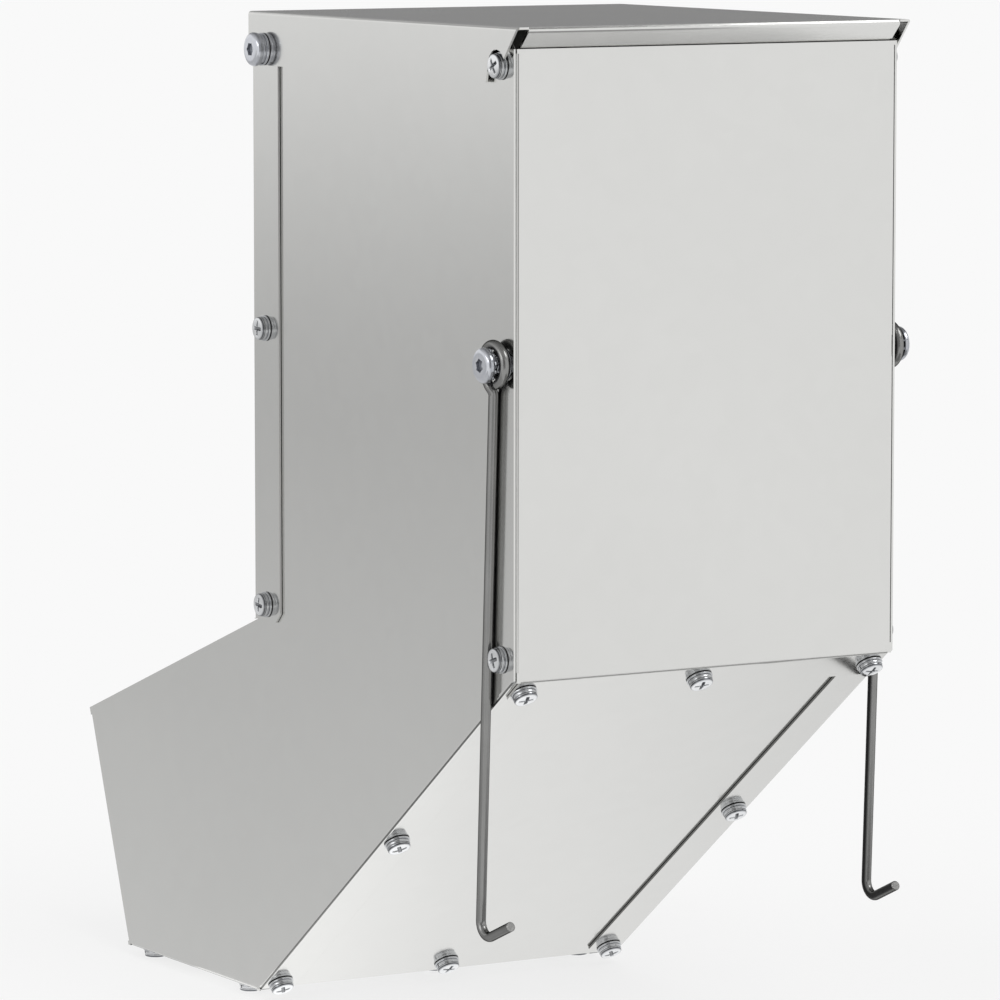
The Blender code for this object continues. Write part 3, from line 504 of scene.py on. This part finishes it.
def button_head(seat, count=96, rows=44):
    """A flat crown with a hexagon socket, then an arc down to a short rim. The socket's wall is where a
    point's reach passes the hexagon's, and its floor dips to the middle."""
    row = np.arange(rows)[:, None]
    angle = round_angles(count)[None, :]
    reach = BOLT_HEAD_RADIUS * np.linspace(0, 1, rows)[:, None] * np.ones_like(angle)
    wall = SOCKET_HALF * hexagon(angle)
    # Three rows stand close together at the socket's edge, so that its wall is steep and has six flats
    reach[:SOCKET_ROWS] = np.linspace(0, 0.9, SOCKET_ROWS)[:, None] * wall
    reach[SOCKET_ROWS:SOCKET_ROWS + 3] = np.array([0.97, 1.0, 1.05])[:, None] * wall
    slope = np.clip((reach - BOLT_CROWN) / (BOLT_HEAD_RADIUS - BOLT_CROWN), 0, 1)
    top = seat + BOLT_HEAD - (BOLT_HEAD - BOLT_RIM) * (1 - np.sqrt(1 - (slope * 0.98) ** 2)) / 0.8
    floor = seat + BOLT_HEAD - SOCKET_DEPTH - 0.0003 * (1 - reach / SOCKET_HALF)
    height = np.where(row <= SOCKET_ROWS, floor, np.maximum(top, seat + BOLT_RIM))
    height[SOCKET_ROWS + 1] = seat + BOLT_HEAD - 0.0001
    # Painted shade: light on the socket's floor, darker at its edge and at the crown's edge, and darkest
    # under the rim
    marks = (-SOCKET_ROWS, -2, 0, 1, 2, 3, rows - 4 - SOCKET_ROWS, rows - 1 - SOCKET_ROWS)
    shade_and_cut = np.interp(row - SOCKET_ROWS, marks, (0.12, 0.2, 0.5, 0.5, 0.1, 0, 0.15, 0.5))
    rim = turned(
        [
            (BOLT_HEAD_RADIUS, seat + 0.9 * BOLT_RIM, 0.4),
            (BOLT_HEAD_RADIUS, seat + 0.3 * BOLT_RIM, 0.4),
            (BOLT_HEAD_RADIUS - 0.0001, seat + 0.1 * BOLT_RIM, 0.9),
            (BOLT_HEAD_RADIUS - 0.0003, seat, 1),
            (0, seat, 1),
        ],
        count,
    )
    return np.concatenate([around(reach, angle, height, shade_and_cut), rim])


def toothed_ring(inner, outer, low, high, count=144):
    """A lock washer with teeth: the outer reach steps in and out round it, and each tooth is twisted."""
    angle = round_angles(count)[None, :]
    gap = smooth_step(0.5 - 1.6 * np.cos(TEETH * angle))
    reach, twist = outer - TOOTH_DEPTH * gap, TOOTH_TWIST * np.sin(TEETH * angle)
    # Painted shade darkens the gaps between the teeth, and most of all the inner faces and the underside
    r, edge = TOOTH_ROUND, 0.1 + 0.45 * gap
    rows = (
        (inner + r, low, 1),
        (inner, low + r, 1),
        (inner, high - r, 1),
        (inner + r, high, 0.6),
        (reach - r, high + twist, edge),
        (reach, high - r + twist, edge),
        (reach, low + r + twist, edge),
        (reach - r, low + twist, 1),
    )
    return np.concatenate([around(radius, angle, height, shade_and_cut) for radius, height, shade_and_cut in rows])


def lock_nut(high, count=72):
    """A hexagon nut from high down: its flats are cut back by a cone at both faces, and a round collar
    that holds the nylon ring closes its far end. The profile gives the cone's radius and how far down it
    has it, in millimetres."""
    profile = (
        (3.2, 0), (4.75, 0), (5.25, 0.3), (6.0, 0.8), (6.0, 3.0), (5.2, 3.4), (4.5, 3.5),
        (4.45, 4.5), (4.2, 4.9), (3.8, 5.0), (3.15, 5.0), (3.15, 4.2), (3.15, 0.2),
    )
    cone, drop = np.array(profile).T[:, :, None] / 1000
    angle = round_angles(count)[None, :]
    return around(np.minimum(cone, NUT_HALF * hexagon(angle)), angle, high - drop, 0.15)


BOLT_ZINC = zinc_plate("bluish_zinc_plate", BOLT_PLATE)
for side, hand in ((1, "left"), (-1, "right")):
    out = (side, 0, 0)
    lid_at = (side * SIDE_X, LID_COLUMN, TOP_ROW - HOOK_HEIGHT)
    hook_at = (side * SIDE_X, REAR_COLUMN, 0)
    for name, at, seat, grip, turn in (
        ("lid_bolt", lid_at, LID_TOP_SEAT, LAP, 2.61),
        ("hook_bolt", hook_at, HOOK_SEAT, 2 * LAP, 3.31),
    ):
        tip = -grip - NUT_HEIGHT - BOLT_END
        shank = threaded(BOLT_RADIUS, BOLT_THREAD, BOLT_PITCH, seat, tip, 0, count=28)
        parts = [(button_head(seat), False), (shank, False)]
        fastener(f"{name}_{hand}", parts, standing(at, out, turn), BOLT_ZINC)
    spring = split_ring(HOLE_RADIUS, SPRING_RADIUS, 0.00336, 0.00464, 0.00004)
    for name, at, turn, part, closed in (
        ("lid_washer", lid_at, 0.2, flat_ring(HOLE_RADIUS, WASHER_RADIUS, 0.0023, 0.0033, shade_and_cut=0.25), True),
        ("hook_spacer", hook_at, 0.2, flat_ring(HOLE_RADIUS, WASHER_RADIUS, 0.0002, 0.0010), True),
        ("hook_washer", hook_at, 0.2, toothed_ring(HOLE_RADIUS, WASHER_RADIUS, 0.0051, 0.0059), True),
        ("lid_nut", lid_at, 0.2, lock_nut(-LAP), True),
        ("hook_nut", hook_at, 0.2, lock_nut(-2 * LAP), True),
        ("lid_lock_washer", lid_at, 2.1, spring, False),
    ):
        fastener(f"{name}_{hand}", [(part, closed)], standing(at, out, turn), BOLT_ZINC)

# Each hook is one length of 3.5 mm drawn steel wire. Its top is wound once round the bolt into an eye,
# the rod hangs straight from the eye's front, and the foot is turned up to catch a wire of the cage.
WIRE_RADIUS, WIRE_CHAMFER = 0.00175, 0.0003
EYE_RADIUS, EYE_END, EYE_LEAVES = 0.0070, np.radians(20), np.radians(40)
ROD_OFFSET, NECK_BEND = 0.0016, 0.0050
HOOK_LENGTH, HOOK_BEND = 0.2004, 0.0050
LEG, LEG_RISE = 0.0140, np.radians(26)
EYE_X, ROD_SET, LEAN = 0.08155, 0.00124, np.radians(1.6)
# The rod hangs by this much in front of the head of the low rear screw
ROD_CLEARANCE = 0.0003
HANG = np.arcsin((SCREW_HEAD_RADIUS + WIRE_RADIUS + ROD_CLEARANCE - ROD_OFFSET) / (HOOK_HEIGHT - LOW_ROW))
WIRE_SHADE, WIRE_LIGHT = (0.235, 0.235, 0.23, 1), (0.315, 0.315, 0.31, 1)
# The nearly black tone is a painted shadow on the side of the wire that faces the panel
WIRE_CUT, WIRE_PAINTED_SHADOW, WIRE_SHEEN = (0.50, 0.50, 0.49, 1), (0.012, 0.012, 0.012, 1), (0.1, 0.1, 0.1, 1)
SMOOTHEST_WIRE, ROUGHEST_WIRE, SHADOWED_SIDE_ROUGHER = 0.14, 0.30, 0.4


def arc_points(centre, radius, start, end, steps):
    """Points at even angles on a circle about the centre, from start to end."""
    angle = np.linspace(start, end, steps + 1)
    return np.array(centre) + radius * np.stack([np.cos(angle), np.sin(angle)], -1)


def hook_line(side):
    """The wire's middle line: an arc for the eye, a short neck bend that lets it into the straight rod
    and sets it nearer to the panel, and the foot's bend and leg. Its curves have even steps."""
    eye = arc_points((0, 0), EYE_RADIUS, EYE_END - np.pi / 2, np.pi + EYE_LEAVES, 56)
    heading = np.array([np.sin(EYE_LEAVES), -np.cos(EYE_LEAVES)])
    neck = eye[-1] + heading * (-ROD_OFFSET - eye[-1, 0]) / heading[0]
    neck_centre = neck - (NECK_BEND, NECK_BEND * np.tan(EYE_LEAVES / 2))
    bend = arc_points(neck_centre, NECK_BEND, EYE_LEAVES, 0, 10)
    foot_centre = (HOOK_BEND - ROD_OFFSET, HOOK_BEND - HOOK_LENGTH)
    foot = arc_points(foot_centre, HOOK_BEND, np.pi, 1.5 * np.pi + LEG_RISE, 26)
    rod = np.linspace(bend[-1], foot[0], 26)[1:-1]
    tip = foot[-1] + np.outer(np.linspace(0, 1, 6)[1:], (np.cos(LEG_RISE), np.sin(LEG_RISE))) * LEG
    flat = np.concatenate([eye, bend, rod, foot, tip])
    set_in = ROD_SET * smooth_step((np.arange(len(flat)) - len(eye) + 1) / len(bend))
    return np.column_stack([-side * set_in, flat])


def wire_along(line, side, count=24):
    """A round wire swept along a line: each ring stands square to the line, turned so that it never
    twists, and both sheared ends have a small chamfer before they close. The ends' mark is one. It
    falls below zero by how squarely a point faces the panel, where the wire has a painted shadow."""
    along = np.gradient(line, axis=0)
    along /= np.linalg.norm(along, axis=1, keepdims=True)
    level = (1, 0, 0) - along * along[:, :1]
    level /= np.linalg.norm(level, axis=1, keepdims=True)
    upright = np.cross(along, level)
    angle = round_angles(count)[:, None]
    rings = np.cos(angle) * level[:, None] + np.sin(angle) * upright[:, None]
    last = len(line) - 1
    at = np.r_[0, 0, 0:last + 1, last, last]
    reach = np.full(len(at), WIRE_RADIUS)
    reach[[0, -1]], reach[[1, -2]] = 0, WIRE_RADIUS - WIRE_CHAMFER
    centre = line[at]
    centre[2] += along[0] * WIRE_CHAMFER
    centre[-3] -= along[-1] * WIRE_CHAMFER
    # Painted shadow: below zero on the side that faces the panel; the cut ends are one
    shade_and_cut = np.tile(-smooth_step((-side * np.cos(angle) - 0.5) / 0.4), (len(at), 1, 1))
    shade_and_cut[[0, 1, -2, -1]] = 1
    return np.concatenate([centre[:, None] + rings[at] * reach[:, None, None], shade_and_cut], -1)


def drawn_wire(name):
    """Dark drawn steel: smooth, with long die lines down the rod and a few lighter rubbed places. Its cut
    ends are lighter, and the side that faces the panel is painted nearly black as a shadow and gives
    no mirror image."""
    finish = Finish(bpy.data.materials.new(name))
    lines, rubbed = finish.noise((3000, 3000, 60), 3), finish.noise((160, 160, 60), 3)
    cut = finish.painted_shade_and_cut()
    # Painted shadow: towards minus one the wire turns nearly black, rougher and not metal
    panel_side_shadow = finish.node("ShaderNodeMapRange", Value=cut, From_Min=0.0, From_Max=-1.0).outputs[0]
    metal = finish.mixed(cut, finish.mixed(rubbed, WIRE_SHADE, WIRE_LIGHT), WIRE_CUT)
    rough = finish.ranged(lines, SMOOTHEST_WIRE, ROUGHEST_WIRE)
    finish.shade(
        Metallic=finish.ranged(panel_side_shadow, 1, 0),
        Base_Color=finish.mixed(panel_side_shadow, metal, WIRE_PAINTED_SHADOW),
        Specular_Tint=WIRE_SHEEN,
        Roughness=finish.math("ADD", rough, finish.ranged(panel_side_shadow, 0, SHADOWED_SIDE_ROUGHER)),
        Normal=finish.relief(lines, 0.12, 0.00003),
    )
    return finish.owner


WIRE = drawn_wire("dark_drawn_wire")
for side, hand in ((1, "left"), (-1, "right")):
    turn = Matrix.Rotation(side * LEAN, 4, "Z") @ Matrix.Rotation(-HANG, 4, "X")
    place = Matrix.Translation((side * EYE_X, REAR_COLUMN, 0)) @ turn
    hook = f"hook_{hand}"
    wire = [(wire_along(hook_line(side), side), False)]
    piece("wire_" + hook, wire, place, hook, WIRE, hook, sharp=40)

# A plain pale floor under the feeder, even soft light, and the grey cards that a photographer stands
# round bright metal so that it shows its shape. The cards are seen only in reflections.
FLOOR_Z, FLOOR_REACH = cad_box[0].z - 0.0002, 60
CARD_Z = FLOOR_Z + 0.0005
WHITE, FLOOR_GLOW, FLOOR_UNSEEN, SKY = 0.947, 0.78, 0.8, 0.6


def grey(tone):
    """A colour of one tone, from 0 for black to 1 for white."""
    return (tone, tone, tone, 1)


def stage_sheet(name, corners):
    """A flat piece of the set from its four corners, with its height up the piece in its own map."""
    mesh = bpy.data.meshes.new(name)
    mesh.from_pydata(corners, [], [(0, 1, 2, 3)])
    mesh.uv_layers.new(name="map").data.foreach_set("uv", [0, 0, 1, 0, 1, 1, 0, 1])
    made = put(name, mesh)
    return made


def background_rays(finish):
    """1 for what the camera sees, straight, in metal or through glass, and 0 for light that falls on
    things."""
    rays = finish.node("ShaderNodeLightPath").outputs
    seen = finish.math("MAXIMUM", rays["Is Camera Ray"], rays["Is Glossy Ray"])
    return finish.math("MAXIMUM", seen, rays["Is Transmission Ray"])


def floor_finish(name):
    """A pale floor that keeps a part of the shadow: most of its tone is its own, the rest comes from the
    light."""
    finish = Finish(bpy.data.materials.new(name))
    shade = finish.node("ShaderNodeBsdfDiffuse", Color=grey(WHITE * (1 - FLOOR_GLOW))).outputs[0]
    glow = finish.node("ShaderNodeEmission", Color=grey(WHITE), Strength=FLOOR_GLOW).outputs[0]
    seen = finish.node("ShaderNodeAddShader", _0=shade, _1=glow).outputs[0]
    lit = finish.node("ShaderNodeBsdfDiffuse", Color=grey(FLOOR_UNSEEN)).outputs[0]
    finish.show(finish.node("ShaderNodeMixShader", _0=background_rays(finish), _1=lit, _2=seen).outputs[0])
    return finish.owner


sides = ((-1, -1), (1, -1), (1, 1), (-1, 1))
floor = stage_sheet("floor", [(x * FLOOR_REACH, y * FLOOR_REACH, FLOOR_Z) for x, y in sides])
floor.data.materials.append(floor_finish("pale_floor"))


def card(name, foot, across, rise, tones, up=(0, 0, 1), power=1.0):
    """A card from the middle of its foot: it reaches by across to each side and by rise along up. Its
    tones are pairs of a share of the rise and a grey, blended softly, and it gives them off with
    power."""
    foot, across, top = Vector(foot), Vector(across), Vector(foot) + Vector(up) * rise
    made = stage_sheet(name, [foot - across, foot + across, top + across, top - across])
    finish = Finish(bpy.data.materials.new(name + "_paper"))
    at = finish.node("ShaderNodeUVMap", {"uv_map": "map"}).outputs["UV"]
    ramp = finish.node("ShaderNodeValToRGB", _0=finish.node("ShaderNodeSeparateXYZ", Vector=at).outputs[1])
    ramp.color_ramp.interpolation = "B_SPLINE"
    stops = ramp.color_ramp.elements
    while len(stops) < len(tones):
        stops.new(0.5)
    for stop, (share, tone) in zip(stops, tones):
        stop.position, stop.color = share, grey(tone)
    finish.show(finish.node("ShaderNodeEmission", Color=ramp.outputs[0], Strength=power).outputs[0])
    made.data.materials.append(finish.owner)
    made.visible_camera = made.visible_diffuse = made.visible_shadow = False
    made.visible_transmission = made.visible_volume_scatter = False


# Beyond the left side, where the side panel looks
card(
    "side_card", (0.50, -0.62, FLOOR_Z), (0.61, 0.35, 0), 0.60,
    [(0.0, 0.62), (0.16, 0.58), (0.30, 0.52), (0.46, 0.74), (0.60, 0.92), (1.0, 0.95)],
)
# Beyond the feeder, where the lid looks
card("back_card", (-0.60, -1.05, 0.13), (0.87, -0.50, 0), 0.9, [(0.0, 0.24), (0.5, 0.30), (1.0, 0.60)])
# On the floor beside the left side, under the chute, and before the hopper's back
card(
    "side_floor_card", (0.081, -0.45, CARD_Z), (0, 0.75, 0), 0.8,
    [(0.0, 0.69), (0.12, 0.67), (0.4, 0.62), (1.0, 0.60)], up=(1, 0, 0),
)
card(
    "chute_floor_card", (-0.20, 0.08, CARD_Z), (0, -0.14, 0), 0.288,
    [(0.1, 0.69), (0.3, 0.745), (0.46, 0.775), (0.62, 0.80), (0.74, 0.825), (0.93, 0.98)],
    up=(1, 0, 0), power=1.2,
)
card(
    "seam_floor_card", (-0.12, 0.215, CARD_Z), (-0.16, 0, 0), 0.30,
    [(0.0, 0.36), (1.0, 0.36)], up=(0, 1, 0),
)
# A dark flag before the hopper's rear left edge, a ceiling that is dark on the right, and a soft box up
# to the right
card(
    "camera_flag", (0.65, 1.12, FLOOR_Z), (-0.43, 0.25, 0), 1.3,
    [(0.0, 0.60), (0.15, 0.33), (0.6, 0.30), (1.0, 0.40)],
)
card(
    "ceiling", (-3, 0, 1.6), (0, 3, 0), 6,
    [(0.0, 0.24), (0.5, 0.24), (0.75, 0.60), (1.0, 0.80)], up=(1, 0, 0),
)
card(
    "soft_box", (-0.774, 0.869, 0.647), (0.26, 0.234, 0), 0.60,
    [(0.0, 1.0), (1.0, 1.0)], up=(0.448, -0.497, 0.743), power=3.2,
)

# The surroundings light the feeder evenly, and where they are seen they are as pale as the floor
bpy.context.scene.world = bpy.data.worlds.new("studio")
studio = Finish(bpy.context.scene.world, "Background", "World Output")
studio.shade(Color=grey(1), Strength=SKY)
sky = studio.shader.outputs[0]
backdrop = studio.node("ShaderNodeBackground", Color=grey(WHITE)).outputs[0]
studio.show(studio.node("ShaderNodeMixShader", _0=background_rays(studio), _1=sky, _2=backdrop).outputs[0])

# Each lamp gives a share of the light under which a level white sheet shows as 1
for name, turn, rise, spread, share in (("key_light", 185, 52, 34, 0.26), ("fill_light", 95, 38, 50, 0.14)):
    lamp = put(name, bpy.data.lights.new(name, "SUN"))
    lamp.rotation_euler = looking_from(turn, rise)
    lamp.data.angle = np.radians(spread)
    lamp.data.energy = share * np.pi / np.sin(np.radians(rise))
